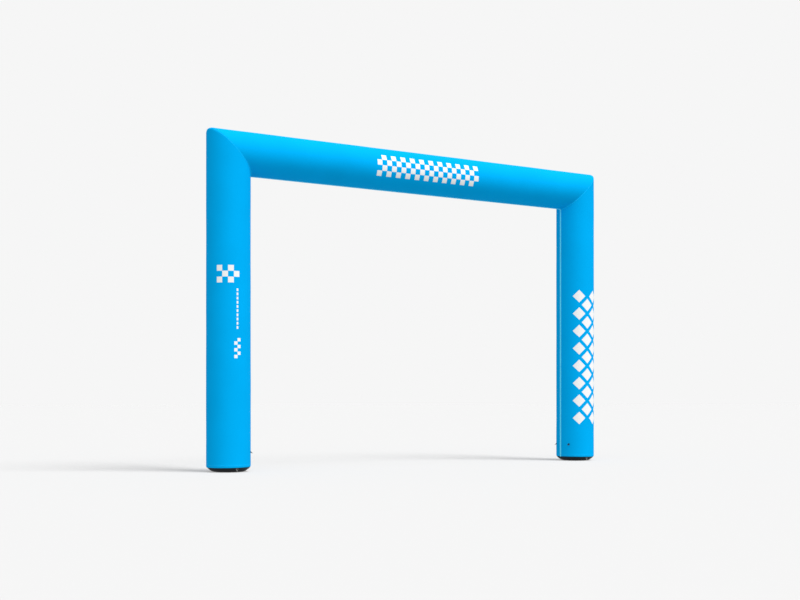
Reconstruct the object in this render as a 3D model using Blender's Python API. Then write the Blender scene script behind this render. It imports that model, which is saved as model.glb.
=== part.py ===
"""An inflatable arch: two round air-filled legs and a beam of the same tube, mitred at the corners.

Metres, +Z up, X along the beam, the front faces -Y. The origin is on the ground, midway between the
feet. A closed zip runs along the innermost line of the whole arch, and small rings for tying the
arch down hang in sewn-on tabs, low on the legs and on the front of the feet.
"""

from math import acos, cos, pi, sin, sqrt, tan

import bmesh
import bpy
from mathutils import Matrix, Vector

# Driving dimensions
TUBE_R = 0.300  # radius of the legs and of the beam
LEG_SPACING = 6.050  # between the legs' centre lines
BEAM_Z = 4.335  # height of the beam's centre line
HEM_Z = 0.0650  # height of the covers' hem above the ground
GAP = 0.0003  # between pieces that touch

SIDES = 64  # facets around a tube
MITRE_ROUND = 0.036  # radius that air pressure gives the corner at the mitre seam
MITRE_STEPS = 3  # rings of facets across half of that rounded corner

HEM_HEIGHT = 0.035
HEM_IN = 0.0035  # how far the hem's lower edge is drawn in

FOOT_TOP_R = 0.2945
FOOT_FLAT_R = 0.178  # radius of the flat that stands on the ground
FOOT_BULGE = 0.50  # exponent of the foot's rounded side
FOOT_LEVELS = (0.06, 0.2, 0.45, 0.75, 1.0)  # heights of its rings, in shares of the foot's height

ZIP_WIDTH = 0.032
ZIP_THICK = 0.0018  # of the tape's edges
ZIP_CREST = 0.0050  # height of the middle, where the two tapes rise to the coil

# One tab with its ring, in a local frame: u across, v up, w away from the cloth
WEBBING = 0.0030  # thickness of the doubled webbing that is sewn down
LOOP_WALL = 0.0015
LOOP_CLEAR = 0.0004  # between the ring's bar and the webbing round it
WIRE_SIDES = 8
LEG_TAB_Z = 0.263  # height of the leg tabs' folds above the ground
FACET = 2 * pi / SIDES
LEG_TAB_ANGLE = 5.5 * FACET  # either side of the innermost line
LEG_TAB_SIZE = (0.026, 0.015)  # width, and length above the fold
LEG_WIRE_R = 0.0038
LEG_RING_HALF = 0.0175  # half the width of the D-shaped ring, between wire centres
LEG_RING_CORNER = 0.0048
LEG_RING_TILT = 0.95  # the leg rings stand out from the cloth
FOOT_TAB_LEVEL = 0.86  # height of the foot tab on the foot, in shares of the foot's height
FOOT_TAB_SIZE = (0.019, 0.007)
FOOT_WIRE_R = 0.0022
FOOT_RING_HALF = 0.0180  # half the width of the three-cornered ring
FOOT_RING_HEIGHT = 0.034
FOOT_RING_CORNER = 0.0030

COLOURS = {  # name: (base colour, roughness, metallic)
    "cover_blue": ((0.0, 0.42, 0.90), 0.55, 0.0),
    "foot_black": ((0.012, 0.013, 0.016), 0.5, 0.0),
    "zip_light_blue": ((0.08, 0.52, 0.88), 0.6, 0.0),
    "webbing_dark": ((0.008, 0.014, 0.030), 0.8, 0.0),
    "ring_dark": ((0.010, 0.012, 0.018), 0.4, 0.0),
    "ring_grey": ((0.45, 0.46, 0.46), 0.35, 1.0),
}

MITRE_ANGLES = [k * pi / 4 / MITRE_STEPS for k in range(MITRE_STEPS + 1)]


def clear_scene():
    for obj in list(bpy.data.objects):
        bpy.data.objects.remove(obj, do_unlink=True)


def make_material(name, colour, roughness, metallic):
    material = bpy.data.materials.new(name)
    material.use_nodes = True
    shader = material.node_tree.nodes["Principled BSDF"]
    shader.inputs["Base Color"].default_value = (*colour, 1.0)
    shader.inputs["Roughness"].default_value = roughness
    shader.inputs["Metallic"].default_value = metallic
    return material


def finish_object(name, bm, colour_name, smooth_angle=None):
    """Make one closed piece of a bmesh, in its own material."""
    bmesh.ops.recalc_face_normals(bm, faces=bm.faces)
    mesh = bpy.data.meshes.new(name)
    bm.to_mesh(mesh)
    bm.free()
    if smooth_angle is not None:
        mesh.shade_smooth()
        mesh.set_sharp_from_angle(angle=smooth_angle)
    mesh.materials.append(make_material(f"{name}_{colour_name}", *COLOURS[colour_name]))
    obj = bpy.data.objects.new(name, mesh)
    bpy.context.scene.collection.objects.link(obj)
    return obj


def loft(name, rings, colour_name, smooth_angle=0.6):
    """Close a stack of rings, each a list of points, with a face on either end."""
    bm = bmesh.new()
    rows = [[bm.verts.new(point) for point in ring] for ring in rings]
    for low, high in zip(rows, rows[1:]):
        for k in range(len(low)):
            following = (k + 1) % len(low)
            bm.faces.new((low[k], low[following], high[following], high[k]))
    bm.faces.new(rows[0][::-1])
    bm.faces.new(rows[-1])
    return finish_object(name, bm, colour_name, smooth_angle)


def mitre_radius(angle, step_angle):
    """Distance from the tube's centre line near the rounded mitre; angle 0 is the innermost line."""
    push = MITRE_ROUND * (1 - cos(step_angle))
    return TUBE_R + push * cos(angle) * abs(cos(angle))


def mitre_setback(step_angle):
    """Distance from the mitre plane, along the tube, of a ring of the rounded corner."""
    return MITRE_ROUND * (cos(step_angle) - sin(step_angle)) + GAP / sqrt(2)


def leg_point(side, angle, radius, z):
    """side is -1 for the left leg and 1 for the right one."""
    return Vector((side * (LEG_SPACING / 2 - radius * cos(angle)), radius * sin(angle), z))


def leg_mitre_point(side, angle, step_angle):
    radius = mitre_radius(angle, step_angle)
    z = BEAM_Z - radius * cos(angle) - mitre_setback(step_angle)
    return leg_point(side, angle, radius, z)


def beam_mitre_point(side, angle, step_angle):
    radius = mitre_radius(angle, step_angle)
    x = LEG_SPACING / 2 - radius * cos(angle) - mitre_setback(step_angle)
    return Vector((side * x, radius * sin(angle), BEAM_Z - radius * cos(angle)))


def build_leg_cover(name, side):
    angles = [k * FACET for k in range(SIDES)]
    levels = (
        (TUBE_R - HEM_IN, HEM_Z),
        (TUBE_R - HEM_IN / 4, HEM_Z + HEM_HEIGHT / 4),
        (TUBE_R, HEM_Z + HEM_HEIGHT),
    )
    rings = [[leg_point(side, angle, radius, z) for angle in angles] for radius, z in levels]
    for step_angle in MITRE_ANGLES:
        rings.append([leg_mitre_point(side, angle, step_angle) for angle in angles])
    loft(name, rings, "cover_blue")


def build_beam_cover():
    angles = [k * FACET for k in range(SIDES)]
    ends = {
        side: [[beam_mitre_point(side, angle, step) for angle in angles] for step in MITRE_ANGLES]
        for side in (-1, 1)
    }
    loft("beam_cover", ends[-1][::-1] + ends[1], "cover_blue")


def foot_radius(share):
    """Radius of the foot at a share of its height."""
    return FOOT_FLAT_R + (FOOT_TOP_R - FOOT_FLAT_R) * share**FOOT_BULGE


def build_foot(name, side):
    """A rounded bottom that fills the leg's end; a facet's middle faces the front."""
    height = HEM_Z - GAP
    reach = 1 / cos(FACET / 2)
    rings = []
    for share in (0.0, *FOOT_LEVELS):
        radius = foot_radius(share) * reach
        rings.append(
            [leg_point(side, (k + 0.5) * FACET, radius, share * height) for k in range(SIDES)]
        )
    loft(name, rings, "foot_black")


def zip_section(centre, edges, outward):
    """Six points across the zip, which lies on two facets that meet on the innermost line."""
    inner = [edges[0] + outward * GAP, centre + outward * GAP, edges[1] + outward * GAP]
    heights = (ZIP_THICK, ZIP_CREST, ZIP_THICK)
    return inner + [point + outward * height for point, height in zip(reversed(inner), heights)]


def zip_edges(points):
    """The tape's two edges on the facets between the middle point and its neighbours."""
    centre, before, after = points
    share = (ZIP_WIDTH / 2) / (after - before).length * 2
    return centre, (centre.lerp(before, share), centre.lerp(after, share))


def zip_along_leg(side):
    facets = (0, -FACET, FACET)
    outward = Vector((-side, 0, 0))
    sections = [zip_section(*zip_edges([leg_point(side, a, TUBE_R, HEM_Z) for a in facets]), outward)]
    for step_angle in MITRE_ANGLES:
        points = [leg_mitre_point(side, angle, step_angle) for angle in facets]
        turned = Vector((-side * cos(step_angle), 0, -sin(step_angle)))
        sections.append(zip_section(*zip_edges(points), turned))
    return sections


def zip_along_beam(side):
    facets = (0, -FACET, FACET)
    sections = []
    for step_angle in MITRE_ANGLES:
        points = [beam_mitre_point(side, angle, step_angle) for angle in facets]
        turned = Vector((-side * sin(step_angle), 0, -cos(step_angle)))
        sections.append(zip_section(*zip_edges(points), turned))
    return sections


def build_zips():
    loft("zip_left", zip_along_leg(-1), "zip_light_blue", 0.5)
    loft("zip_right", zip_along_leg(1), "zip_light_blue", 0.5)
    loft("zip_beam", zip_along_beam(-1)[::-1] + zip_along_beam(1), "zip_light_blue", 0.5)


def arc(centre, radius, first, last, count):
    """Points (v, w) on an arc, from the first angle to the last."""
    step = (last - first) / (count - 1)
    return [
        (centre[0] + radius * sin(first + k * step), centre[1] + radius * cos(first + k * step))
        for k in range(count)
    ]


def bar_height(wire_r):
    """Height of the bar's centre above the cloth: webbing passes round it with its back on the cloth."""
    return GAP + LOOP_WALL + LOOP_CLEAR + wire_r


def build_tab(name, frame, size, wire_r, colour_name):
    """Doubled webbing sewn to the cloth, with a fold round the ring's bar at its lower end."""
    width, length = size
    w_bar = bar_height(wire_r)
    inner_r = wire_r + LOOP_CLEAR
    outer_r = inner_r + LOOP_WALL
    front = GAP + WEBBING
    last = 2 * pi + acos((front - w_bar) / outer_r)
    outline = arc((0, w_bar), outer_r, pi, last, 13)
    outline += [(length, front), (length, GAP)]
    hole = arc((0, w_bar), inner_r, 0, 2 * pi * 11 / 12, 12)
    bm = bmesh.new()
    edges = []
    for loop in (outline, hole):
        verts = [bm.verts.new((-width / 2, v, w)) for v, w in loop]
        edges += [bm.edges.new((verts[k - 1], verts[k])) for k in range(len(verts))]
    bmesh.ops.triangle_fill(bm, use_beauty=True, edges=edges)
    side_faces = list(bm.faces)
    moved = bmesh.ops.extrude_face_region(bm, geom=side_faces, use_keep_orig=True)["geom"]
    verts = [item for item in moved if isinstance(item, bmesh.types.BMVert)]
    bmesh.ops.translate(bm, verts=verts, vec=(width, 0, 0))
    bmesh.ops.transform(bm, matrix=frame, verts=bm.verts)
    finish_object(name, bm, colour_name, 0.5)


def wire_ring(name, frame, path, wire_r, tilt, colour_name):
    """A closed wire of round section along path, points (u, v) in the ring's own plane."""
    swing = Matrix.Translation((0, 0, bar_height(wire_r))) @ Matrix.Rotation(-tilt, 4, "X")
    sections = []
    for k in range(len(path)):
        here = Vector((*path[k], 0))
        along = (Vector((*path[(k + 1) % len(path)], 0)) - Vector((*path[k - 1], 0))).normalized()
        across = Vector((along.y, -along.x, 0))
        turn = [2 * pi * (j + 0.5) / WIRE_SIDES for j in range(WIRE_SIDES)]
        section = [here + wire_r * (cos(t) * across + sin(t) * Vector((0, 0, 1))) for t in turn]
        sections.append([frame @ swing @ point for point in section])
    bm = bmesh.new()
    rows = [[bm.verts.new(point) for point in section] for section in sections]
    for k in range(len(rows)):
        for j in range(WIRE_SIDES):
            i = (j + 1) % WIRE_SIDES
            bm.faces.new((rows[k - 1][j], rows[k - 1][i], rows[k][i], rows[k][j]))
    finish_object(name, bm, colour_name, 1.2)


def rounded_path(corners, steps=5):
    """A closed outline through corners (u, v, radius), each turned with an arc of its radius."""
    path = []
    for k in range(len(corners)):
        u, v, radius = corners[k]
        corner = Vector((u, v))
        before = (Vector(corners[k - 1][:2]) - corner).normalized()
        after = (Vector(corners[(k + 1) % len(corners)][:2]) - corner).normalized()
        half = before.angle(after) / 2
        centre = corner + (before + after).normalized() * radius / sin(half)
        first = corner + before * radius / tan(half) - centre
        turn = (pi - 2 * half) / steps
        path += [tuple(centre + Matrix.Rotation(-j * turn, 2) @ first) for j in range(steps + 1)]
    return path


def d_path(half_width, corner):
    """A D lying on its back: a straight bar on top and a round bow under it."""
    low = -(half_width + corner)
    bow = 0.98 * half_width  # a hair under the full half width keeps a short flat between the arcs
    bar = [(-half_width, 0, corner), (half_width, 0, corner)]
    return rounded_path(bar + [(half_width, low, bow), (-half_width, low, bow)])


def triangle_path(half_width, height, corner):
    """A triangle on its point: a bar on top and two slanting legs."""
    return rounded_path([(-half_width, 0, corner), (half_width, 0, corner), (0, -height, corner)])


def local_frame(origin, up, outward):
    """A matrix from (u, v, w) to the arch's axes."""
    across = up.cross(outward)
    matrix = Matrix((across, up, outward)).transposed().to_4x4()
    matrix.translation = origin
    return matrix


def leg_tab_frame(side, angle):
    """On the middle of a facet of the leg, low on its inner side."""
    distance = TUBE_R * cos(FACET / 2)
    origin = leg_point(side, angle, distance, LEG_TAB_Z)
    outward = Vector((-side * cos(angle), sin(angle), 0))
    return local_frame(origin, Vector((0, 0, 1)), outward)


def foot_slope():
    """Two levels of the foot, as shares, and the slope of the facet between them."""
    low, high = FOOT_LEVELS[3], FOOT_LEVELS[4]
    rise = (high - low) * (HEM_Z - GAP)
    run = foot_radius(high) - foot_radius(low)
    return low, Vector((0, -run, rise)).normalized()


def foot_tab_frame(side):
    """On the front facet of the foot, under the hem."""
    low, up = foot_slope()
    height = HEM_Z - GAP
    start = Vector((side * LEG_SPACING / 2, -foot_radius(low), low * height))
    origin = start + up * ((FOOT_TAB_LEVEL - low) * height / up.z)
    outward = Vector((0, -up.z, up.y))
    return local_frame(origin, up, outward)


def build_leg_rings():
    for side, side_name in ((-1, "left"), (1, "right")):
        for turn, turn_name in ((-1, "front"), (1, "back")):
            frame = leg_tab_frame(side, turn * LEG_TAB_ANGLE)
            name = f"{side_name}_{turn_name}"
            build_tab(f"ring_tab_{name}", frame, LEG_TAB_SIZE, LEG_WIRE_R, "webbing_dark")
            path = d_path(LEG_RING_HALF, LEG_RING_CORNER)
            wire_ring(f"ring_{name}", frame, path, LEG_WIRE_R, LEG_RING_TILT, "ring_dark")


def build_foot_rings():
    _, up = foot_slope()
    hang = up.angle(Vector((0, 0, 1)))
    for side, side_name in ((-1, "left"), (1, "right")):
        frame = foot_tab_frame(side)
        build_tab(f"foot_tab_{side_name}", frame, FOOT_TAB_SIZE, FOOT_WIRE_R, "webbing_dark")
        path = triangle_path(FOOT_RING_HALF, FOOT_RING_HEIGHT, FOOT_RING_CORNER)
        wire_ring(f"foot_ring_{side_name}", frame, path, FOOT_WIRE_R, hang, "ring_grey")


def main():
    clear_scene()
    for side, side_name in ((-1, "left"), (1, "right")):
        build_leg_cover(f"leg_cover_{side_name}", side)
        build_foot(f"foot_{side_name}", side)
    build_beam_cover()
    build_zips()
    build_leg_rings()
    build_foot_rings()


main()
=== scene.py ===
"""Looks of an inflatable arch: printed polyester covers, coated feet, zip, webbing tabs and rings.

Metres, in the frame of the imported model: +Z up, X along the beam, the front faces -Y.
"""

from math import cos, pi, radians, sin, sqrt

import bpy
import numpy as np
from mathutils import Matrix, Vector


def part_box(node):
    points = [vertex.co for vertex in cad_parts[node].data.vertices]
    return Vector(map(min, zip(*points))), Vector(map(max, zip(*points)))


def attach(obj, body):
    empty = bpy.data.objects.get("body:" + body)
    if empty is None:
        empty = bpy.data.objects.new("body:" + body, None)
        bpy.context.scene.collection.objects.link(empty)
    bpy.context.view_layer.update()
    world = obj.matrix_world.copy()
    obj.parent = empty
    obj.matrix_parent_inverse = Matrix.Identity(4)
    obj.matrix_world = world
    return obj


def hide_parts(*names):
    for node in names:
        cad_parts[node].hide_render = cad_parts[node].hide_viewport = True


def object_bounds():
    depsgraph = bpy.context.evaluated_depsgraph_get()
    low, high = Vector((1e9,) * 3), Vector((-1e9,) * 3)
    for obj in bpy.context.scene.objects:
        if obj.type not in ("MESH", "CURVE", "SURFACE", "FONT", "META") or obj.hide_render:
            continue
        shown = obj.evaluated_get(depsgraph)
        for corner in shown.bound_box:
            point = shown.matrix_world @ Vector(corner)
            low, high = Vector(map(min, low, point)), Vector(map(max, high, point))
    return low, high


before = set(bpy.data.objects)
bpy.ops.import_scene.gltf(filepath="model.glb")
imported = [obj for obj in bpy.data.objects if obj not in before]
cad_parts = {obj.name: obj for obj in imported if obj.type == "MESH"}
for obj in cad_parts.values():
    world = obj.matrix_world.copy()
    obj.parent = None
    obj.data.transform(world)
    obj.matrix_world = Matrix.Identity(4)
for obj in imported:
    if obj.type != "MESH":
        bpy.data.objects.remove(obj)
cad_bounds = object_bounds()

# Sizes of the arch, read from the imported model
TUBE_R = cad_bounds[1].y
TOP_Z = cad_bounds[1].z
BEAM_Z = TOP_Z - TUBE_R
LEG_X = cad_bounds[1].x - TUBE_R
HEM_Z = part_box("leg_cover_left")[0].z
FOOT_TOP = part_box("foot_left")[1].z
FOOT_R = (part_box("foot_left")[1].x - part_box("foot_left")[0].x) / 2
ZIP_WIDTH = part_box("zip_left")[1].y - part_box("zip_left")[0].y
SIDE_NAMES = {-1: "left", 1: "right"}

# Covers
CORNER_ROUND = 0.036  # radius of the corner at the mitre seam
SEAM_GAP = 0.0002  # between a cover and the mitre plane
SIDES = 256
FRONT = 1.5 * pi  # the front line of a tube, from its innermost line
FELL_WIDTH = 0.012  # doubled cloth beside the mitre seam, on the leg's side
FELL_RAISE = 0.0010
FELL_EDGE = 0.0018  # over which the doubled cloth ends
HEM_HEIGHT = 0.035
HEM_IN = 0.0035  # how far the hem's lower edge is drawn in
HEM_RAISE = 0.0008
HEM_EDGE = (0.0012, 0.0006)  # its doubled cloth ends between this far under and this far over
HEM_ROUNDING = 0.0008  # depth and reach of the rounding at its lower edge
HEM_GATHERS = 0.8  # as a share of the mitre seam's
PUCKER_DEPTH = 0.0008
PUCKER_REACH = {"seam": 0.050, "hem": 0.040}
GROOVE = (0.0012, 0.0015)  # depth and reach of the groove at the mitre seam
DIP = (0.0004, 0.0011)  # depth and reach of the dip along a row of stitches
SLACK = (0.0011, 0.0006)  # heights of the long and the short unevenness
SLACK_STARTS = 0.3  # distance from an end over which the unevenness grows to its full height
SEAM_HIGHLIGHT_REACH = (0.8, 1.3)  # painted highlight beside the mitre seam: the cloth is coloured lighter up to here, in widths of the doubled cloth
RIM_HIGHLIGHT_REACH = (0.002, 0.006)  # and a painted highlight at the hem's lower edge, up to here
RIM_HIGHLIGHT_SHARE = 0.6  # strength of the hem's painted highlight, as a share of the seam's
ZIP_CLEAR = (0.022, 0.045)  # the cloth is smooth under the zip, and puckers beyond it

# Sewing
STITCH_LENGTH = 0.0048
STITCH_PITCH = 0.0065
STITCH_SUNK = 0.35  # height of a stitch's middle above the cloth, in radii of the thread
THREAD_R = 0.0006
SEAM_POINTS = 720
SEAM_CLEAR = 0.001  # between the zip's edge and the ends of a row
SEAM_ROWS = (0.0030, 0.0090)  # rows of stitches, from the mitre seam
HEM_ROWS = (0.0240, 0.0300)  # above the hem's lower edge

# Zip
TAPE_THICK = 0.0009
TAPE_LIFT = 0.0005
TAPE_SEWN = 0.0110  # the tape lies on the cover from here outwards, and rises to the coil inwards
COIL_HALF = 0.0025
ZIP_RISE = 0.0040
TOOTH_PITCH = 0.0034
TOOTH_SIZE = (0.0066, 0.0021, 0.0030)
TOOTH_SUNK = 0.2  # height of a tooth's middle above the tape, in heights of the tooth
TOOTH_SWAY = 0.0013  # teeth stand to either side of the middle in turn
TAPE_COLUMNS = 8
TAPE_GAP = 0.0006  # half the gap between the tapes
STRAIGHT_ROWS = 40
CORNER_STEPS = np.linspace(0, pi / 4, 9)


def radial_wave(angle, waves, phases, strengths):
    """Even ripples round a tube; whole numbers of waves close on themselves."""
    return sum(s * np.sin(w * angle + p) for w, p, s in zip(waves, phases, strengths))


def smooth_step(value, low, high):
    share = np.clip((value - low) / (high - low), 0, 1)
    return share * share * (3 - 2 * share)


def corner_turn(setback):
    """How far the rounded corner has turned, at a distance along the tube from the mitre plane."""
    share = np.clip(setback / (CORNER_ROUND * sqrt(2)), 0, 1 / sqrt(2))
    return np.arccos(share) - pi / 4


def tube_radius(angle, setback):
    push = CORNER_ROUND * (1 - np.cos(corner_turn(setback)))
    return TUBE_R + push * np.cos(angle) * np.abs(np.cos(angle))


def leg_points(side, angle, setback, raised=0.0):
    """Angle 0 is the innermost line. The setback is measured down the leg from the mitre plane."""
    radius = tube_radius(angle, setback) + raised
    x = side * (LEG_X - radius * np.cos(angle))
    return np.stack([x, radius * np.sin(angle), BEAM_Z - radius * np.cos(angle) - setback], -1)


def beam_points(side, angle, setback, raised=0.0):
    radius = tube_radius(angle, setback) + raised
    x = side * (LEG_X - radius * np.cos(angle) - setback)
    return np.stack([x, radius * np.sin(angle), BEAM_Z - radius * np.cos(angle)], -1)


def hem_setback(angle, height):
    """Setback of a level line at a height above the hem."""
    return BEAM_Z - TUBE_R * np.cos(angle) - HEM_Z - height


# Modelling helpers

def deselect():
    if bpy.context.object and bpy.context.object.mode != "OBJECT":
        bpy.ops.object.mode_set(mode="OBJECT")
    bpy.ops.object.select_all(action="DESELECT")


def named(name):
    """Name the active object and its mesh."""
    obj = bpy.context.object
    obj.name = name
    obj.data.name = name
    return obj


def make_active(obj):
    deselect()
    obj.select_set(True)
    bpy.context.view_layer.objects.active = obj


def settle(obj):
    """Apply the object's place to its mesh."""
    make_active(obj)
    bpy.ops.object.transform_apply(location=True, rotation=True, scale=True)


def apply_modifiers(obj):
    make_active(obj)
    for modifier in list(obj.modifiers):
        bpy.ops.object.modifier_apply(modifier=modifier.name)


def set_points(obj, points):
    obj.data.vertices.foreach_set("co", np.asarray(points, np.float32).ravel())
    obj.data.update()


def get_points(obj):
    points = np.zeros(len(obj.data.vertices) * 3, np.float32)
    obj.data.vertices.foreach_get("co", points)
    return points.reshape(-1, 3).astype(float)


def ringed_tube(name, rows):
    """A closed tube with rings at z 0, 1, 2 ..., and the row and column of each of its points."""
    deselect()
    bpy.ops.mesh.primitive_cylinder_add(
        vertices=SIDES, radius=1, depth=rows - 1, end_fill_type="NGON",
        location=(0, 0, (rows - 1) / 2),
    )
    obj = named(name)
    settle(obj)
    bpy.ops.object.mode_set(mode="EDIT")
    bpy.ops.mesh.select_mode(type="EDGE")
    bpy.ops.mesh.select_all(action="DESELECT")
    bpy.ops.object.mode_set(mode="OBJECT")
    heights = get_points(obj)[:, 2]
    for edge in obj.data.edges:
        first, last = edge.vertices
        edge.select = bool(abs(heights[first] - heights[last]) > 0.5)
    bpy.ops.object.mode_set(mode="EDIT")
    bpy.ops.mesh.subdivide(number_cuts=rows - 2)
    bpy.ops.object.mode_set(mode="OBJECT")
    points = get_points(obj)
    turn = np.arctan2(points[:, 1], points[:, 0]) % (2 * pi)
    column = np.rint(turn / (2 * pi) * SIDES).astype(int) % SIDES
    return obj, np.rint(points[:, 2]).astype(int), column


def wrap_uv(obj, across, along, column):
    """UV in metres of cloth, with the last column's faces closed past the wrap."""
    uv = obj.data.uv_layers.new(name="cloth")
    index = np.zeros(len(obj.data.loops), int)
    obj.data.loops.foreach_get("vertex_index", index)
    u, v = across[index], along[index]
    starts = np.array([p.loop_start for p in obj.data.polygons if p.loop_total == 4])
    corners = starts[:, None] + np.arange(4)
    wraps = (column[index[corners]] == SIDES - 1).any(1)
    late = corners[wraps]
    late = late[column[index[late]] == 0]
    turn = 2 * pi * TUBE_R
    near_end = np.sign(np.median(across[column == SIDES - 1]) - np.median(across[column == 0]))
    u[late] += near_end * turn
    uv.data.foreach_set("uv", np.stack([u, v], -1).astype(np.float32).ravel())


def finish_soft(obj, node, material, smooth=radians(40)):
    make_active(obj)
    bpy.ops.object.mode_set(mode="EDIT")
    bpy.ops.mesh.select_all(action="SELECT")
    bpy.ops.mesh.normals_make_consistent(inside=False)
    bpy.ops.object.mode_set(mode="OBJECT")
    bpy.ops.object.shade_smooth_by_angle(angle=smooth)
    obj.data.materials.clear()
    obj.data.materials.append(material)
    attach(obj, "root")
    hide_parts(node)


# Printed patterns, in metres of cloth: across from the front line, and up or along
BEAM_CHECKS = {"size": 0.080, "left": -0.85, "low": -0.155, "columns": 22, "rows": 4}
PATCH_CHECKS = {"size": 0.078, "left": -0.285, "low": 2.54, "columns": 4, "rows": 3}
STRIP_CHECKS = {"size": 0.045, "left": -0.045, "low": 1.53, "columns": 2, "rows": 6}
TICK_PITCH = 0.056
TICK_GAP = 0.35  # share of the pitch that stays blue
TICK_HALF = 0.012
TICK_HEIGHTS = (1.92, 2.48)
LOZENGE_CELL = (0.288, 0.2775)
LOZENGE_START = (-0.285, 0.545)
LOZENGE_COUNTS = ((3, 8), (2, 7))  # columns and rows of the two lattices
LOZENGE_SHARE = 0.72  # of its cell's width

# Colours: where there are two, a fine pattern mixes them
CLOTH_BLUE = ((0.0, 0.400, 0.850), (0.0, 0.420, 0.895))
FLECK_BLUE = (0.0, 0.300, 0.700)
# lighter blue painted along the mitre seam and the hem's lower edge: a painted highlight
HIGHLIGHT_BLUE = (0.0, 0.500, 0.980)
INK_WHITE = ((0.90, 0.90, 0.90), (0.78, 0.82, 0.86))
THREAD_BLUE = ((0.02, 0.50, 0.92), (0.05, 0.62, 0.98))
THREAD_DARK = ((0.012, 0.022, 0.045), (0.030, 0.045, 0.080))
FOOT_BLACK = ((0.010, 0.012, 0.015), (0.020, 0.023, 0.027))
FOOT_RIM = (0.006, 0.040, 0.065)
FOOT_SCUFF = (0.10, 0.10, 0.10)
TAPE_BLUE = ((0.090, 0.670, 1.0), (0.120, 0.750, 1.0))
COIL_BLUE = ((0.14, 0.77, 1.0), (0.19, 0.85, 1.0))
ZIP_SHEEN = (0.30, 0.72, 1.0, 1.0)
WEBBING_DARK = ((0.006, 0.012, 0.028), (0.014, 0.026, 0.052))
RING_DARK = ((0.008, 0.010, 0.016), (0.030, 0.034, 0.042))
RING_GREY = ((0.36, 0.37, 0.37), (0.56, 0.57, 0.57))

# Shares of gloss
CLOTH_GLOSS = 0.01
THREAD_GLOSS = 0.15
FOOT_GLOSS = 0.06
TAPE_GLOSS = 0.45
COIL_GLOSS = 0.60
WEBBING_GLOSS = 0.2

# Pitches of threads and ribs
CLOTH_PITCH = 0.0011
TAPE_RIB = 0.0012
WEBBING_RIB = 0.0016
WEBBING_CORD = 0.0022

FOOT_RIM_LOW = 0.040  # the foot's rim is tinted from here up
FOOT_SCUFF_HIGH = 0.020  # its scuffs end here


# Materials

def shader_tree(name):
    material = bpy.data.materials.new(name)
    material.use_nodes = True
    tree = material.node_tree
    return material, tree, tree.nodes["Principled BSDF"]


def maths(tree, operation, *values):
    node = tree.nodes.new("ShaderNodeMath")
    node.operation = operation
    for socket, value in zip(node.inputs, values):
        if isinstance(value, (int, float)):
            socket.default_value = value
        else:
            tree.links.new(value, socket)
    return node.outputs[0]


def between(tree, value, low, high):
    """1 where the value lies between low and high."""
    middle, half = (low + high) / 2, (high - low) / 2
    away = maths(tree, "ABSOLUTE", maths(tree, "SUBTRACT", value, middle))
    return maths(tree, "LESS_THAN", away, half)


def cloth_place(tree):
    """The cloth's own coordinates in metres: across and along."""
    uv = tree.nodes.new("ShaderNodeUVMap")
    uv.uv_map = "cloth"
    split = tree.nodes.new("ShaderNodeSeparateXYZ")
    tree.links.new(uv.outputs["UV"], split.inputs[0])
    return uv.outputs["UV"], split.outputs["X"], split.outputs["Y"]


def noise(tree, place, scale, detail=3.0, roughness=0.5):
    node = tree.nodes.new("ShaderNodeTexNoise")
    node.inputs["Scale"].default_value = scale
    node.inputs["Detail"].default_value = detail
    node.inputs["Roughness"].default_value = roughness
    tree.links.new(place, node.inputs["Vector"])
    return node.outputs["Fac"]


def object_place(tree):
    return tree.nodes.new("ShaderNodeTexCoord").outputs["Object"]


def mix_colour(tree, share, first, second):
    """Share 0 gives the first colour, 1 the second."""
    node = tree.nodes.new("ShaderNodeMix")
    node.data_type = "RGBA"
    for key, value in (("Factor", share), ("A", first), ("B", second)):
        socket = node.inputs[key]
        if isinstance(value, bpy.types.NodeSocket):
            tree.links.new(value, socket)
        elif isinstance(value, tuple):
            socket.default_value = (*value, 1.0)
        else:
            socket.default_value = value
    return node.outputs["Result"]


def spread(tree, value, low, high, from_low=0.0, from_high=1.0):
    node = tree.nodes.new("ShaderNodeMapRange")
    tree.links.new(value, node.inputs["Value"])
    ends = {"From Min": from_low, "From Max": from_high, "To Min": low, "To Max": high}
    for key, number in ends.items():
        node.inputs[key].default_value = number
    return node.outputs["Result"]


def add_bump(tree, shader, height, strength, distance, onto=None):
    node = tree.nodes.new("ShaderNodeBump")
    node.inputs["Strength"].default_value = strength
    node.inputs["Distance"].default_value = distance
    tree.links.new(height, node.inputs["Height"])
    if onto is not None:
        tree.links.new(onto, node.inputs["Normal"])
    tree.links.new(node.outputs["Normal"], shader.inputs["Normal"])
    return node.outputs["Normal"]


def plain_weave(tree, across, along, pitch):
    """Height of a plain weave: threads pass over and under each other."""
    k = 2 * pi / pitch
    warp = maths(tree, "SINE", maths(tree, "MULTIPLY", across, k))
    weft = maths(tree, "SINE", maths(tree, "MULTIPLY", along, k))
    return maths(tree, "MULTIPLY", warp, weft)


def checks(tree, across, along, size, left, low, columns, rows):
    """A block of squares, every other one printed."""
    cells = [
        maths(tree, "FLOOR", maths(tree, "DIVIDE", maths(tree, "SUBTRACT", value, start), size))
        for value, start in ((across, left), (along, low))
    ]
    odd = maths(tree, "FLOORED_MODULO", maths(tree, "ADD", *cells), 2.0)
    here = maths(
        tree, "MULTIPLY",
        between(tree, across, left, left + columns * size),
        between(tree, along, low, low + rows * size),
    )
    return maths(tree, "MULTIPLY", maths(tree, "LESS_THAN", odd, 0.5), here)


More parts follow.
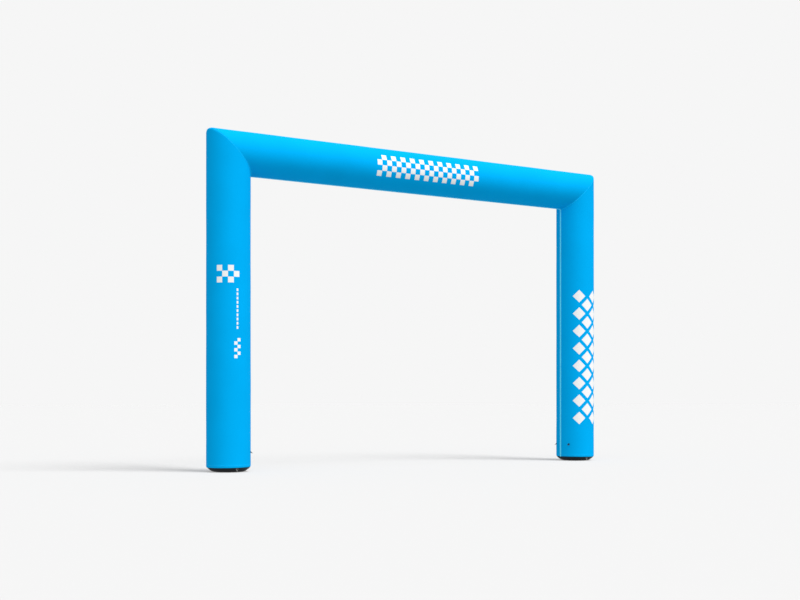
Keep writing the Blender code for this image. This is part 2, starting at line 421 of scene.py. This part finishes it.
def lozenges(tree, across, along, left, low, width, height, columns, rows):
    """A block of lozenges, one in the middle of each cell."""
    slants = []
    for value, start, size in ((across, left, width), (along, low, height)):
        cell = maths(tree, "DIVIDE", maths(tree, "SUBTRACT", value, start), size)
        away = maths(tree, "SUBTRACT", maths(tree, "FRACT", cell), 0.5)
        slants.append(maths(tree, "ABSOLUTE", away))
    shape = maths(tree, "LESS_THAN", maths(tree, "ADD", *slants), LOZENGE_SHARE / 2)
    here = maths(
        tree, "MULTIPLY",
        between(tree, across, left, left + columns * width),
        between(tree, along, low, low + rows * height),
    )
    return maths(tree, "MULTIPLY", shape, here)


def beam_print(tree, up, along_beam):
    return checks(tree, along_beam, up, **BEAM_CHECKS)


def left_leg_print(tree, across, height):
    """A patch of checks, a line of ticks under it, and a narrow strip of checks."""
    patch = checks(tree, across, height, **PATCH_CHECKS)
    dash = maths(tree, "FRACT", maths(tree, "DIVIDE", height, TICK_PITCH))
    here = maths(
        tree, "MULTIPLY",
        between(tree, across, -TICK_HALF, TICK_HALF),
        between(tree, height, *TICK_HEIGHTS),
    )
    ticks = maths(tree, "MULTIPLY", here, maths(tree, "GREATER_THAN", dash, TICK_GAP))
    strip = checks(tree, across, height, **STRIP_CHECKS)
    return maths(tree, "MAXIMUM", maths(tree, "MAXIMUM", patch, ticks), strip)


def right_leg_print(tree, across, height):
    """Lozenges in two lattices, the second one between the first."""
    (width, tall), (left, low) = LOZENGE_CELL, LOZENGE_START
    starts = ((left, low), (left + width / 2, low + tall / 2))
    lattices = [
        lozenges(tree, across, height, *start, width, tall, *counts)
        for start, counts in zip(starts, LOZENGE_COUNTS)
    ]
    return maths(tree, "MAXIMUM", *lattices)


def cover_material(name, printed):
    """Woven polyester, dyed blue, with a printed pattern in white."""
    material, tree, shader = shader_tree(name)
    place, across, along = cloth_place(tree)
    cloudy = spread(tree, noise(tree, object_place(tree), 2.2, 2.0), 0.0, 1.0, 0.3, 0.7)
    blue = mix_colour(tree, cloudy, *CLOTH_BLUE)
    yarn = noise(tree, place, 900.0, 1.0)
    flecked = mix_colour(tree, spread(tree, yarn, 0.0, 0.10), blue, FLECK_BLUE)
    # Painted highlight: a lighter blue along the mitre seam and the hem's lower edge, read from the
    # points
    edges = tree.nodes.new("ShaderNodeAttribute")
    edges.attribute_name = "painted_edge_highlight"
    flecked = mix_colour(tree, edges.outputs["Fac"], flecked, HIGHLIGHT_BLUE)
    mask = printed(tree, across, along)
    ink = mix_colour(tree, spread(tree, yarn, 0.0, 0.15), *INK_WHITE)
    tree.links.new(mix_colour(tree, mask, flecked, ink), shader.inputs["Base Color"])
    rough = spread(tree, noise(tree, place, 14.0, 4.0), 0.62, 0.74)
    tree.links.new(rough, shader.inputs["Roughness"])
    shader.inputs["Specular IOR Level"].default_value = CLOTH_GLOSS
    weave = plain_weave(tree, across, along, CLOTH_PITCH)
    fine = add_bump(tree, shader, weave, 0.12, 0.0002)
    soft = noise(tree, object_place(tree), 9.0, 3.0)
    add_bump(tree, shader, soft, 0.15, 0.004, fine)
    return material


def thread_material(name, colours):
    material, tree, shader = shader_tree(name)
    place = object_place(tree)
    tone = mix_colour(tree, noise(tree, place, 400.0), *colours)
    tree.links.new(tone, shader.inputs["Base Color"])
    tree.links.new(spread(tree, noise(tree, place, 1500.0), 0.45, 0.65), shader.inputs["Roughness"])
    shader.inputs["Specular IOR Level"].default_value = THREAD_GLOSS
    add_bump(tree, shader, noise(tree, place, 2500.0), 0.3, 0.0002)
    return material


def foot_material():
    """Black coated cloth, darker underneath than at its tinted rim, with light scuffs low on its
    side.
    """
    material, tree, shader = shader_tree("coated_black")
    place = object_place(tree)
    split = tree.nodes.new("ShaderNodeSeparateXYZ")
    tree.links.new(place, split.inputs[0])
    height = split.outputs["Z"]
    base = mix_colour(tree, noise(tree, place, 18.0, 5.0), *FOOT_BLACK)
    rim = spread(tree, height, 0.0, 1.0, FOOT_RIM_LOW, FOOT_TOP)
    tinted = mix_colour(tree, rim, base, FOOT_RIM)
    scuff = spread(tree, noise(tree, place, 60.0, 6.0, 0.7), 0.0, 0.5, 0.60, 0.75)
    low = maths(tree, "MULTIPLY", scuff, spread(tree, height, 1.0, 0.0, 0.0, FOOT_SCUFF_HIGH))
    tree.links.new(mix_colour(tree, low, tinted, FOOT_SCUFF), shader.inputs["Base Color"])
    rough = spread(tree, noise(tree, place, 40.0, 4.0), 0.42, 0.60)
    tree.links.new(rough, shader.inputs["Roughness"])
    shader.inputs["Specular IOR Level"].default_value = FOOT_GLOSS
    grain = add_bump(tree, shader, noise(tree, place, 900.0, 2.0), 0.25, 0.0003)
    add_bump(tree, shader, noise(tree, place, 25.0, 3.0), 0.25, 0.003, grain)
    return material


def tape_material():
    """Zip tape: fine ribs along it, a lighter blue than the cover."""
    material, tree, shader = shader_tree("zip_tape")
    place = object_place(tree)
    tone = mix_colour(tree, noise(tree, place, 260.0, 2.0), *TAPE_BLUE)
    tree.links.new(tone, shader.inputs["Base Color"])
    tree.links.new(spread(tree, noise(tree, place, 300.0), 0.50, 0.62), shader.inputs["Roughness"])
    shader.inputs["Specular IOR Level"].default_value = TAPE_GLOSS
    shader.inputs["Specular Tint"].default_value = ZIP_SHEEN
    split = tree.nodes.new("ShaderNodeSeparateXYZ")
    tree.links.new(place, split.inputs[0])
    rib = maths(tree, "SINE", maths(tree, "MULTIPLY", split.outputs["Y"], 2 * pi / TAPE_RIB))
    add_bump(tree, shader, rib, 0.3, 0.0002)
    return material


def tooth_material():
    """Zip coil: smoother and lighter than its tape."""
    material, tree, shader = shader_tree("zip_coil")
    place = object_place(tree)
    tone = mix_colour(tree, noise(tree, place, 500.0, 1.0), *COIL_BLUE)
    tree.links.new(tone, shader.inputs["Base Color"])
    tree.links.new(spread(tree, noise(tree, place, 200.0), 0.25, 0.38), shader.inputs["Roughness"])
    shader.inputs["Specular IOR Level"].default_value = COIL_GLOSS
    shader.inputs["Specular Tint"].default_value = ZIP_SHEEN
    return material


def webbing_material():
    """Dark webbing: ribs up it, crossed by its cords."""
    material, tree, shader = shader_tree("dark_webbing")
    place = object_place(tree)
    split = tree.nodes.new("ShaderNodeSeparateXYZ")
    tree.links.new(place, split.inputs[0])
    rib = maths(tree, "SINE", maths(tree, "MULTIPLY", split.outputs["Z"], 2 * pi / WEBBING_RIB))
    slant = maths(tree, "ADD", split.outputs["X"], split.outputs["Y"])
    cord = maths(tree, "SINE", maths(tree, "MULTIPLY", slant, 2 * pi / WEBBING_CORD))
    weave = maths(tree, "MULTIPLY", rib, cord)
    tone = mix_colour(tree, spread(tree, weave, 0.0, 1.0, -1.0, 1.0), *WEBBING_DARK)
    tree.links.new(tone, shader.inputs["Base Color"])
    tree.links.new(spread(tree, noise(tree, place, 700.0), 0.70, 0.88), shader.inputs["Roughness"])
    shader.inputs["Specular IOR Level"].default_value = WEBBING_GLOSS
    add_bump(tree, shader, weave, 0.5, 0.0003)
    return material


def ring_material(name, colours, metallic, rough):
    """Wire ring: painted or bare, a little worn."""
    material, tree, shader = shader_tree(name)
    place = object_place(tree)
    worn = spread(tree, noise(tree, place, 220.0, 4.0), 0.0, 1.0, 0.35, 0.70)
    tree.links.new(mix_colour(tree, worn, *colours), shader.inputs["Base Color"])
    tree.links.new(spread(tree, noise(tree, place, 600.0), *rough), shader.inputs["Roughness"])
    shader.inputs["Metallic"].default_value = metallic
    add_bump(tree, shader, noise(tree, place, 1200.0, 2.0), 0.15, 0.0001)
    return material


# Covers

# Rings of points: distances from the mitre seam, close at the stitches, then heights above the hem
MITRE_ROWS = [SEAM_GAP, 0.0015, 0.003, 0.0045, 0.0075, 0.009, 0.0105, 0.012, 0.0135, 0.016]
MITRE_ROWS += [0.016 + 0.0073 * k for k in range(1, 20)]
HEM_LEVELS = [0.0, 0.0008, 0.002, 0.008, 0.016, 0.0225, 0.024, 0.0255]
HEM_LEVELS += [0.0285, 0.030, 0.0315, 0.0340, 0.0355]
HEM_LEVELS += [0.0355 + 0.008 * k for k in range(1, 13)]
LEG_MIDDLE_ROWS = 56
BEAM_MIDDLE_ROWS = 80


def zip_clearing(angle):
    """0 on the innermost line, where the zip lies flat, and 1 away from it."""
    distance = TUBE_R * np.minimum(angle % (2 * pi), (-angle) % (2 * pi))
    return smooth_step(distance, *ZIP_CLEAR)


def pucker(angle, distance, reach, phase):
    """Short gathers square to a seam, deeper towards the inner side of the arch."""
    ripple = radial_wave(angle, (43, 57, 71), (phase, 2.1 + phase, 4.2 * phase), (0.50, 0.35, 0.25))
    ripple *= 0.65 + 0.35 * np.sin(5 * angle + phase)
    inner = 0.55 + 0.45 * np.cos(angle)
    return PUCKER_DEPTH * ripple * inner * np.exp(-distance / reach)


def slack(angle, along, phase):
    """The cloth's large, barely seen unevenness under pressure."""
    long_wave = np.sin(2 * angle + 3.1 * along + phase) * np.sin(1.7 * along + 0.6 * phase)
    short_wave = np.sin(3 * angle - 5.3 * along + 2 * phase) * np.sin(4.1 * along + phase)
    return SLACK[0] * long_wave + SLACK[1] * short_wave


def stitch_dip(distance, rows):
    """Each row of stitches draws the cloth in."""
    depth, reach = DIP
    return sum(-depth * np.exp(-(((distance - row) / reach) ** 2)) for row in rows)


def seam_relief(angle, setback, on_leg, phase):
    """The seam's groove and gathers, and on the leg its doubled cloth and rows of stitches."""
    relief = pucker(angle, setback, PUCKER_REACH["seam"], phase)
    relief -= GROOVE[0] * np.exp(-setback / GROOVE[1])
    if on_leg:
        relief += FELL_RAISE * (1 - smooth_step(setback, FELL_WIDTH, FELL_WIDTH + FELL_EDGE))
        relief += stitch_dip(setback, SEAM_ROWS)
    return relief


def hem_relief(angle, height, phase):
    """The hem's doubled cloth with its stitches and gathers, and how far it is drawn in."""
    under, over = HEM_EDGE
    doubled = HEM_RAISE * (1 - smooth_step(height, HEM_HEIGHT - under, HEM_HEIGHT + over))
    drawn_in = -HEM_IN * np.clip(1 - height / HEM_HEIGHT, 0, 1) ** 2
    rounded = -HEM_ROUNDING * np.exp(-height / HEM_ROUNDING)
    away = np.abs(height - 0.5 * HEM_HEIGHT)
    gathers = HEM_GATHERS * pucker(angle, away, PUCKER_REACH["hem"], phase)
    return doubled + rounded + stitch_dip(height, HEM_ROWS) + gathers, drawn_in


def leg_setbacks(angles):
    """Rows from the hem up to the mitre seam, as setbacks for each angle."""
    low = [hem_setback(angles, level) for level in HEM_LEVELS]
    high = [np.full_like(angles, setback) for setback in MITRE_ROWS[::-1]]
    shares = np.linspace(0, 1, LEG_MIDDLE_ROWS + 2)[1:-1]
    middle = [low[-1] + (high[0] - low[-1]) * share for share in shares]
    return np.array(low + middle + high)


def leg_cover_raise(side, angle, setback):
    """Height of the leg's cloth over its even tube."""
    height = hem_setback(angle, 0.0) - setback
    hem, drawn_in = hem_relief(angle, height, 1.3 + side)
    seam = seam_relief(angle, setback, True, 0.4 + side)
    ends = np.clip(np.minimum(height, setback) / SLACK_STARTS, 0, 1)
    loose = slack(angle, height, 0.8 * side) * ends
    return drawn_in + (hem + seam + loose) * zip_clearing(angle)


def mark_painted_highlights(obj, share):
    """Painted highlight: the cloth is coloured lighter along the mitre seam and the hem's lower
    edge; the material reads this from the points.
    """
    attribute = obj.data.attributes.new("painted_edge_highlight", "FLOAT", "POINT")
    attribute.data.foreach_set("value", share.astype(np.float32))


def build_leg_cover(side, printed):
    name = f"leg_cover_{SIDE_NAMES[side]}"
    angles = np.arange(SIDES) * 2 * pi / SIDES
    setbacks = leg_setbacks(angles)
    obj, row, column = ringed_tube(f"{name}_cloth", len(setbacks))
    column = column if side < 0 else (SIDES // 2 - column) % SIDES
    angle, setback = angles[column], setbacks[row, column]
    points = leg_points(side, angle, setback, leg_cover_raise(side, angle, setback))
    set_points(obj, points)
    wrap_uv(obj, TUBE_R * (angle - FRONT) * -side, points[:, 2], column)
    # Painted highlight beside the mitre seam and at the hem's lower edge
    seam_highlight = 1 - smooth_step(setback, *(share * FELL_WIDTH for share in SEAM_HIGHLIGHT_REACH))
    rim_highlight = RIM_HIGHLIGHT_SHARE * (1 - smooth_step(points[:, 2] - HEM_Z, *RIM_HIGHLIGHT_REACH))
    mark_painted_highlights(obj, np.maximum(seam_highlight, rim_highlight))
    finish_soft(obj, name, cover_material(f"printed_cloth_{SIDE_NAMES[side]}", printed))


def build_beam_cover():
    angles = np.arange(SIDES) * 2 * pi / SIDES
    end = np.array([np.full_like(angles, setback) for setback in MITRE_ROWS])
    middle = LEG_X - TUBE_R * np.cos(angles)  # setback at the middle of the beam
    half = BEAM_MIDDLE_ROWS // 2
    shares = np.linspace(0, 1, half + 1)[1:]
    inward = np.concatenate([end, end[-1] + (middle - end[-1]) * shares[:, None]])
    setbacks = np.concatenate([inward, inward[-2::-1]])
    obj, row, column = ringed_tube("beam_cover_cloth", len(setbacks))
    angle, setback = angles[column], setbacks[row, column]
    side = np.where(row < len(inward), -1, 1)
    seam = seam_relief(angle, setback, False, 0.9)
    loose = slack(angle, side * (LEG_X - setback), 0.5) * np.clip(setback / SLACK_STARTS, 0, 1)
    points = beam_points(side, angle, setback, (seam + loose) * zip_clearing(angle))
    set_points(obj, points)
    mark_painted_highlights(obj, np.zeros(len(angle)))
    wrap_uv(obj, TUBE_R * (FRONT - angle), points[:, 0], column)
    finish_soft(obj, "beam_cover", cover_material("printed_cloth_beam", beam_print))


# Feet

FOOT_SIDES = 160
FOOT_ROWS = 22
FOOT_BULGE = 0.50
FOOT_FLAT = 0.6044  # radius of the flat on the ground, as a share of the top's
FOOT_INSET = 0.08  # width of the top face's outer ring
FOOT_CREASE = 0.0007
ROW_CROWDING = 1.6  # rows lie closer near the ground


def build_foot(side, material):
    """A flat disc turned up into the rounded side, with shallow creases from its seam."""
    name = f"foot_{SIDE_NAMES[side]}"
    deselect()
    bpy.ops.mesh.primitive_circle_add(vertices=FOOT_SIDES, radius=FOOT_R, fill_type="NGON")
    obj = named(f"{name}_cloth")
    bpy.ops.object.mode_set(mode="EDIT")
    for _ in range(FOOT_ROWS):
        bpy.ops.mesh.extrude_region_move(TRANSFORM_OT_translate={"value": (0, 0, 1)})
    bpy.ops.mesh.inset(thickness=FOOT_INSET)
    bpy.ops.object.mode_set(mode="OBJECT")
    points = get_points(obj)
    row = np.rint(points[:, 2])
    turn = np.arctan2(points[:, 1], points[:, 0])
    share = (row / FOOT_ROWS) ** ROW_CROWDING
    flat_r = FOOT_FLAT * FOOT_R
    radius = flat_r + (FOOT_R - flat_r) * share**FOOT_BULGE
    creases = radial_wave(turn, (37, 52), (0.5, 2.0), (0.6, 0.4)) * FOOT_CREASE * np.sin(pi * share)
    inset_ring = np.hypot(points[:, 0], points[:, 1]) < FOOT_R - FOOT_INSET / 2
    radius = np.where(inset_ring, FOOT_R - FOOT_INSET, radius + creases)
    place = np.stack(
        [side * LEG_X + radius * np.cos(turn), radius * np.sin(turn), share * FOOT_TOP], -1
    )
    set_points(obj, place)
    finish_soft(obj, name, material)


# Sewing and zip

def small_shape(size, segments=6, rings=4):
    """Points and faces of a small rounded bar, long in x."""
    deselect()
    bpy.ops.mesh.primitive_uv_sphere_add(segments=segments, ring_count=rings, radius=0.5)
    obj = named("pattern")
    points = get_points(obj)[:, (2, 1, 0)] * (1, 1, -1) * size
    faces = [tuple(p.vertices) for p in obj.data.polygons]
    bpy.data.objects.remove(obj)
    return points, faces


def repeated(name, shape, centres, along, out, material, slot):
    """Copies of a small shape at each centre, long in x along, standing on z out."""
    points, faces = shape
    along = along / np.linalg.norm(along, axis=1)[:, None]
    out = out - along * (out * along).sum(1)[:, None]
    out = out / np.linalg.norm(out, axis=1)[:, None]
    across = np.cross(out, along)
    axes = np.stack([along, across, out], 1)  # copies, axis, xyz
    placed = centres[:, None] + np.einsum("pa,nax->npx", points, axes)
    count = len(points)
    all_faces = [tuple(k + n * count for k in face) for n in range(len(centres)) for face in faces]
    mesh = bpy.data.meshes.new(name)
    mesh.from_pydata(placed.reshape(-1, 3).tolist(), [], all_faces)
    obj = bpy.data.objects.new(name, mesh)
    bpy.context.scene.collection.objects.link(obj)
    make_active(obj)
    bpy.ops.object.mode_set(mode="EDIT")
    bpy.ops.mesh.select_all(action="SELECT")
    bpy.ops.mesh.normals_make_consistent(inside=False)
    bpy.ops.object.mode_set(mode="OBJECT")
    bpy.ops.object.shade_smooth()
    mesh.materials.append(material)
    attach(obj, "root")


def even_places(line, pitch):
    """Points spaced evenly along a line of points, with the line's direction at each."""
    steps = np.linalg.norm(np.diff(line, axis=0), axis=1)
    reach = np.concatenate([[0], np.cumsum(steps)])
    count = int(reach[-1] / pitch)
    at = (np.arange(count) + 0.5) * reach[-1] / count
    centres = np.stack([np.interp(at, reach, line[:, k]) for k in range(3)], -1)
    ahead = np.stack([np.interp(at + pitch / 4, reach, line[:, k]) for k in range(3)], -1)
    behind = np.stack([np.interp(at - pitch / 4, reach, line[:, k]) for k in range(3)], -1)
    return centres, ahead - behind


def seam_angles():
    """Round the tube, leaving out the zip's width."""
    skip = (ZIP_WIDTH / 2 + SEAM_CLEAR) / TUBE_R
    return np.linspace(skip, 2 * pi - skip, SEAM_POINTS)


def build_seam_stitches(side, thread, shape):
    """Two rows of stitches through the fell beside the mitre seam, and two round the hem."""
    angle = seam_angles()
    lines = [(angle, np.full_like(angle, row)) for row in SEAM_ROWS]
    lines += [(angle, hem_setback(angle, row)) for row in HEM_ROWS]
    centres, along, out = [], [], []
    for turn, setback in lines:
        raised = leg_cover_raise(side, turn, setback) + THREAD_R * STITCH_SUNK
        places, directions = even_places(leg_points(side, turn, setback, raised), STITCH_PITCH)
        centres.append(places)
        along.append(directions)
        out.append((places - (side * LEG_X, 0, 0)) * (1, 1, 0))
    name = f"cover_stitches_{SIDE_NAMES[side]}"
    stack = [np.concatenate(part) for part in (centres, along, out)]
    repeated(name, shape, *stack, thread, "cover_blue")


def zip_line(part, side, offset, lift):
    """A leg's or half the beam's innermost line, moved across and lifted, with its way out."""
    angle = offset / TUBE_R
    longest = LEG_X - TUBE_R if part == "beam" else BEAM_Z - TUBE_R - HEM_Z
    rounded = CORNER_ROUND * (np.cos(CORNER_STEPS) - np.sin(CORNER_STEPS)) + SEAM_GAP
    straight = np.linspace(longest, CORNER_ROUND + SEAM_GAP, STRAIGHT_ROWS)[:-1]
    setback = np.concatenate([straight, rounded])
    turn = corner_turn(setback)
    if part == "beam":
        points = beam_points(side, angle, setback)
        out = np.stack([-side * np.sin(turn), 0 * turn + sin(angle), -np.cos(turn)], -1)
    else:
        points = leg_points(side, angle, setback)
        out = np.stack([-side * np.cos(turn), 0 * turn + sin(angle), -np.sin(turn)], -1)
    out /= np.linalg.norm(out, axis=1)[:, None]
    return points + out * lift, out


def full_line(part, side, offset, lift):
    """One leg's line from its hem up, or the whole beam's from left to right."""
    if part == "leg":
        return zip_line("leg", side, offset, lift)
    halves = zip(zip_line("beam", -1, offset, lift), zip_line("beam", 1, offset, lift))
    return [np.concatenate([left[::-1][:-1], right]) for left, right in halves]


def build_tape(name, part, side, inner, outer):
    """One half of the zip's tape: a grid laid on the cover, given its thickness."""
    offsets = np.linspace(inner, outer, TAPE_COLUMNS)
    lifts = TAPE_LIFT + ZIP_RISE * (1 - smooth_step(np.abs(offsets), COIL_HALF, TAPE_SEWN))
    lines = [full_line(part, side, offset, lift)[0] for offset, lift in zip(offsets, lifts)]
    rows = len(lines[0])
    deselect()
    bpy.ops.mesh.primitive_grid_add(
        x_subdivisions=len(offsets) - 1, y_subdivisions=rows - 1, size=2
    )
    obj = named(name)
    flat = (get_points(obj) + 1) / 2
    column = np.rint(flat[:, 0] * (len(offsets) - 1)).astype(int)
    row = np.rint(flat[:, 1] * (rows - 1)).astype(int)
    set_points(obj, np.array(lines)[column, row])
    solid = obj.modifiers.new("thickness", "SOLIDIFY")
    solid.thickness = TAPE_THICK
    solid.offset = 1.0
    middle = np.array(lines)[len(offsets) // 2, rows // 2]
    normal = np.array(obj.data.polygons[len(obj.data.polygons) // 2].normal)
    axis_point = (side * LEG_X, 0, middle[2]) if part == "leg" else (middle[0], 0, BEAM_Z)
    if normal @ (middle - np.array(axis_point)) < 0:
        solid.offset = -1.0
    apply_modifiers(obj)
    return obj


def join(objects, name):
    make_active(objects[0])
    for obj in objects:
        obj.select_set(True)
    bpy.ops.object.join()
    return named(name)


def build_zip(node, part, side, tape, coil, tooth):
    """Two tapes side by side, with a coil on top where they meet."""
    half = ZIP_WIDTH / 2
    tapes = [
        build_tape(f"{node}_tape_{k}", part, side, sign * TAPE_GAP, sign * half)
        for k, sign in enumerate((-1, 1))
    ]
    obj = join(tapes, f"{node}_tape")
    finish_soft(obj, node, tape, radians(30))
    coil_lift = TAPE_LIFT + ZIP_RISE + TAPE_THICK + TOOTH_SIZE[2] * TOOTH_SUNK
    line, out = full_line(part, side, 0.0, coil_lift)
    centres, along = even_places(line, TOOTH_PITCH)
    nearest = np.array([np.argmin(((line - c) ** 2).sum(1)) for c in centres])
    out_at = out[nearest]
    across = np.cross(out_at, along / np.linalg.norm(along, axis=1)[:, None])
    sway = np.where(np.arange(len(centres)) % 2, 1, -1)[:, None] * TOOTH_SWAY
    repeated(f"{node}_coil", tooth, centres + across * sway, across, out_at, coil, "zip_light_blue")


# Tabs and rings

TAB_FACE = 0.0029  # a leg tab's sewn face stands this far out from the tube's radius
TAB_STITCH_HALF = 0.0100  # half the width of the box of stitches
TAB_STITCH_DROPS = (0.0030, 0.0105)  # its top and bottom, below the tab's top
TAB_STITCH_PITCH = 0.0030
TAB_STITCH_SIZE = 0.5  # as a share of a cover's stitch
TAB_SOFTENED = 0.0004
MERGED = 0.00002  # points closer than this are one
RING_SWELL = 0.00012  # makes up for the wire's flat facets


def copy_of_node(node, name):
    """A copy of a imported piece, with its loose triangles merged to clean faces."""
    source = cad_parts[node]
    obj = bpy.data.objects.new(name, source.data.copy())
    bpy.context.scene.collection.objects.link(obj)
    make_active(obj)
    bpy.ops.object.mode_set(mode="EDIT")
    bpy.ops.mesh.select_all(action="SELECT")
    bpy.ops.mesh.remove_doubles(threshold=MERGED)
    bpy.ops.mesh.select_mode(type="VERT")
    bpy.ops.mesh.select_all(action="SELECT")
    return obj


def build_tab(node, material):
    """Doubled webbing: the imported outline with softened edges."""
    obj = copy_of_node(node, f"{node}_webbing")
    bpy.ops.mesh.dissolve_limited(angle_limit=radians(2))
    bpy.ops.object.mode_set(mode="OBJECT")
    bevel = obj.modifiers.new("edges", "BEVEL")
    bevel.width = TAB_SOFTENED
    bevel.segments = 3
    bevel.limit_method = "ANGLE"
    bevel.angle_limit = radians(50)
    apply_modifiers(obj)
    finish_soft(obj, node, material, radians(35))


def build_tab_stitches(node, side, thread, shape):
    """A box of stitches on a leg tab, which faces square to the leg at its own place round it."""
    low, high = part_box(node)
    middle = (low + high) / 2
    out = Vector((middle.x - side * LEG_X, middle.y, 0)).normalized()
    across = Vector((0, 0, 1)).cross(out)
    face = Vector((side * LEG_X, 0, 0)) + out * (TUBE_R + TAB_FACE)
    half = TAB_STITCH_HALF
    top, bottom = (high.z - drop for drop in TAB_STITCH_DROPS)
    corners = [(-half, bottom), (half, bottom), (half, top), (-half, top), (-half, bottom)]
    line = [face + across * u + Vector((0, 0, z)) for u, z in corners]
    parts = [
        even_places(np.array(ends, float), TAB_STITCH_PITCH) for ends in zip(line, line[1:])
    ]
    centres = np.concatenate([part[0] for part in parts])
    along = np.concatenate([part[1] for part in parts])
    outs = np.tile(np.array(out), (len(centres), 1))
    small = (shape[0] * TAB_STITCH_SIZE, shape[1])
    repeated(f"{node}_stitches", small, centres, along, outs, thread, "webbing_dark")


def build_ring(node, material):
    """A round wire ring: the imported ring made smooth."""
    obj = copy_of_node(node, f"{node}_wire")
    bpy.ops.mesh.tris_convert_to_quads(face_threshold=radians(60), shape_threshold=radians(60))
    bpy.ops.transform.shrink_fatten(value=RING_SWELL)
    bpy.ops.object.mode_set(mode="OBJECT")
    smooth = obj.modifiers.new("round", "SUBSURF")
    smooth.levels = smooth.render_levels = 2
    apply_modifiers(obj)
    finish_soft(obj, node, material, radians(60))


# Studio

FLOOR_SIZE = 400
FLOOR_GREY = 0.22  # share of light that the floor scatters
FLOOR_GLOW = 0.347  # the floor's own even light, which keeps it as pale as the backdrop
BACKDROP = 0.922  # brightness of the surround as it shows
AMBIENT = 0.588  # and as it lights the arch
KEY_PLACE = (31, 55)  # azimuth and elevation, in degrees
KEY_WIDTH = radians(30)
KEY_STRENGTH = 0.532
FILL_PLACE = (-14, 59)
FILL_WIDTH = radians(60)
FILL_STRENGTH = 0.456
FLOOR_STRENGTH = 1.466  # the key light, as bright as the floor has it
CAMERA_PLACE = (-9.6443, -15.270, 0.9759)
CAMERA_YAW = radians(-31.478)
CAMERA_LENS = 54.63
CAMERA_SHIFT = 0.1246


def build_floor():
    """A wide pale floor, which throws none of its light back at the arch."""
    deselect()
    bpy.ops.mesh.primitive_plane_add(size=FLOOR_SIZE, location=(0, 0, 0))
    floor = named("studio_floor")
    material, tree, shader = shader_tree("pale_floor")
    speckle = noise(tree, object_place(tree), 3.0)
    tone = mix_colour(tree, speckle, (FLOOR_GREY,) * 3, (FLOOR_GREY * 1.005,) * 3)
    tree.links.new(tone, shader.inputs["Base Color"])
    shader.inputs["Roughness"].default_value = 0.9
    shader.inputs["Specular IOR Level"].default_value = 0.0
    shader.inputs["Emission Color"].default_value = (1.0, 1.0, 1.0, 1.0)
    shader.inputs["Emission Strength"].default_value = FLOOR_GLOW
    floor.data.materials.append(material)
    floor.visible_diffuse = False
    return floor


def build_backdrop():
    """An even pale surround, which lights the arch less than it shows."""
    world = bpy.data.worlds.new("studio")
    world.use_nodes = True
    tree = world.node_tree
    rays = tree.nodes.new("ShaderNodeLightPath")
    seen = mix_colour(tree, rays.outputs["Is Camera Ray"], (AMBIENT,) * 3, (BACKDROP,) * 3)
    tree.links.new(seen, tree.nodes["Background"].inputs["Color"])
    bpy.context.scene.world = world


def add_sun(name, place, strength, width, shadow=True):
    """A distant lamp: azimuth from the front towards the right, and elevation, in degrees."""
    az, el = (radians(angle) for angle in place)
    deselect()
    bpy.ops.object.light_add(type="SUN", location=(0, 0, 8))
    lamp = bpy.context.object
    lamp.name = name
    lamp.data.energy = pi * strength
    lamp.data.angle = width
    lamp.data.use_shadow = shadow
    towards = Vector((sin(az) * cos(el), -cos(az) * cos(el), sin(el)))
    lamp.rotation_euler = towards.to_track_quat("Z", "Y").to_euler()
    return lamp


def build_studio():
    """Floor, surround and lamps. Returns the lamp that lights only the floor."""
    floor = build_floor()
    build_backdrop()
    add_sun("key_light", KEY_PLACE, KEY_STRENGTH, KEY_WIDTH)
    add_sun("fill_light", FILL_PLACE, FILL_STRENGTH, FILL_WIDTH, shadow=False)
    on_floor = bpy.data.collections.new("floor_only")
    on_floor.objects.link(floor)
    shadow_maker = add_sun("floor_light", KEY_PLACE, FLOOR_STRENGTH, KEY_WIDTH)
    shadow_maker.light_linking.receiver_collection = on_floor
    return shadow_maker


def leave_out_of_shadow(lamp, names):
    """The named pieces stop none of the lamp's light."""
    left_out = bpy.data.collections.new("stops_no_floor_light")
    lamp.light_linking.blocker_collection = left_out
    for name in names:
        left_out.objects.link(bpy.data.objects[name])
    for item in left_out.collection_objects:
        item.light_linking.link_state = "EXCLUDE"


def add_camera():
    deselect()
    bpy.ops.object.camera_add(location=CAMERA_PLACE, rotation=(pi / 2, 0, CAMERA_YAW))
    camera = bpy.context.object
    camera.name = "camera"
    camera.data.lens = CAMERA_LENS
    camera.data.shift_y = CAMERA_SHIFT
    camera.data.clip_end = 500
    bpy.context.scene.camera = camera


add_camera()
floor_light = build_studio()
bpy.context.scene.view_settings.view_transform = "Standard"

thread = thread_material("blue_thread", THREAD_BLUE)
dark_thread = thread_material("dark_thread", THREAD_DARK)
stitch = small_shape((STITCH_LENGTH, 2 * THREAD_R, 2 * THREAD_R))
tooth = small_shape(TOOTH_SIZE)
foot_cloth = foot_material()
tape = tape_material()
coil = tooth_material()
webbing = webbing_material()
ring_paint = ring_material("dark_ring", RING_DARK, 0.0, (0.30, 0.45))
ring_steel = ring_material("grey_ring", RING_GREY, 1.0, (0.28, 0.42))

for side, printed in ((-1, left_leg_print), (1, right_leg_print)):
    build_leg_cover(side, printed)
    build_foot(side, foot_cloth)
    build_seam_stitches(side, thread, stitch)
    build_zip(f"zip_{SIDE_NAMES[side]}", "leg", side, tape, coil, tooth)
    for place in ("front", "back"):
        build_tab(f"ring_tab_{SIDE_NAMES[side]}_{place}", webbing)
        build_tab_stitches(f"ring_tab_{SIDE_NAMES[side]}_{place}", side, dark_thread, stitch)
        build_ring(f"ring_{SIDE_NAMES[side]}_{place}", ring_paint)
    build_tab(f"foot_tab_{SIDE_NAMES[side]}", webbing)
    build_ring(f"foot_ring_{SIDE_NAMES[side]}", ring_steel)
build_beam_cover()
build_zip("zip_beam", "beam", -1, tape, coil, tooth)
leave_out_of_shadow(floor_light, ("beam_cover_cloth", "zip_beam_tape", "zip_beam_coil"))
